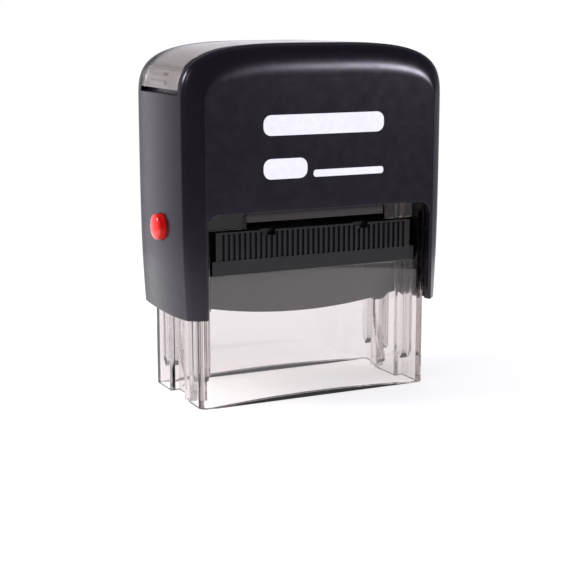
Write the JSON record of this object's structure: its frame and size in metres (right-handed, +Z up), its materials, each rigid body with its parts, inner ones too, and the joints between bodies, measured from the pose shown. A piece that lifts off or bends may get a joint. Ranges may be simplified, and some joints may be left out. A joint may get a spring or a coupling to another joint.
{
  "type": "self inking stamp",
  "caption": "Hand stamp with a sliding arched cover on a clear base; pressing the cover turns the die from the ink pad down to the paper.",
  "frame": {"origin": "centre of the base's footprint, on the surface it stands on", "axes": "+Z up, -Y towards the front with the ink cartridge, +X to the stamp's right as seen from the front"},
  "size_m": [0.064, 0.0318, 0.0751],
  "materials": {
    "housing_black": "satin moulded ABS with a soft sheen",
    "smoke_clear": "clear polystyrene with a faint smoke tint",
    "paper_label": "matt paper",
    "dark_rubber": "matt",
    "inner_black": "matt moulded plastic",
    "cartridge_black": "satin moulded plastic",
    "inked_felt": "felt soaked with black ink",
    "foam": "closed-cell foam tape",
    "die_rubber": "laser-cut rubber",
    "axle_steel": "turned",
    "bush_white": "natural acetal",
    "spring_steel": "drawn wire and strip",
    "button_red": "glossy"
  },
  "bodies": {
    "base": {"base_frame": "smoke_clear", "foot_strip_front": "dark_rubber", "foot_strip_rear": "dark_rubber", "spring_bridge": "inner_black", "main_spring": "spring_steel", "ink_cartridge": "cartridge_black", "felt_pad": "inked_felt"},
    "cover": {"housing": "housing_black", "index_label": "paper_label", "spring_cup": "inner_black", "axle_bush_left": "bush_white", "axle_bush_right": "bush_white", "button_spring_left": "spring_steel", "button_spring_right": "spring_steel"},
    "platen": {"platen_carrier": "inner_black", "foam_tape": "foam", "text_die": "die_rubber", "axle_left": "axle_steel", "axle_right": "axle_steel"},
    "index_cap": {"index_cap": "smoke_clear"},
    "button_left": {"button_left": "button_red"},
    "button_right": {"button_right": "button_red"}
  },
  "joints": [
    {"name": "press", "type": "slide", "parent": "base", "child": "cover", "axis": [0, 0, -1], "range_m": [0, 0.015], "stiffness_N_per_m": 350, "springref_m": -0.006, "deforming": ["main_spring"]},
    {"name": "platen_flip", "type": "hinge", "parent": "cover", "child": "platen", "pos_m": [0, 0, 0.022], "axis": [-1, 0, 0], "range_deg": [0, 180]},
    {"name": "button_left_push", "type": "slide", "parent": "cover", "child": "button_left", "axis": [1, 0, 0], "range_m": [0, 0.0013], "stiffness_N_per_m": 800, "springref_m": -0.0005, "deforming": ["button_spring_left"]},
    {"name": "button_right_push", "type": "slide", "parent": "cover", "child": "button_right", "axis": [-1, 0, 0], "range_m": [0, 0.0013], "stiffness_N_per_m": 800, "springref_m": -0.0005, "deforming": ["button_spring_right"]},
    {"name": "index_cap_lift", "type": "slide", "parent": "cover", "child": "index_cap", "axis": [0, 0, 1], "range_m": [0, 0.014]}
  ],
  "couplings": [
    {"joint": "platen_flip", "follows": "press", "rad_per_m": 209.4}
  ]
}
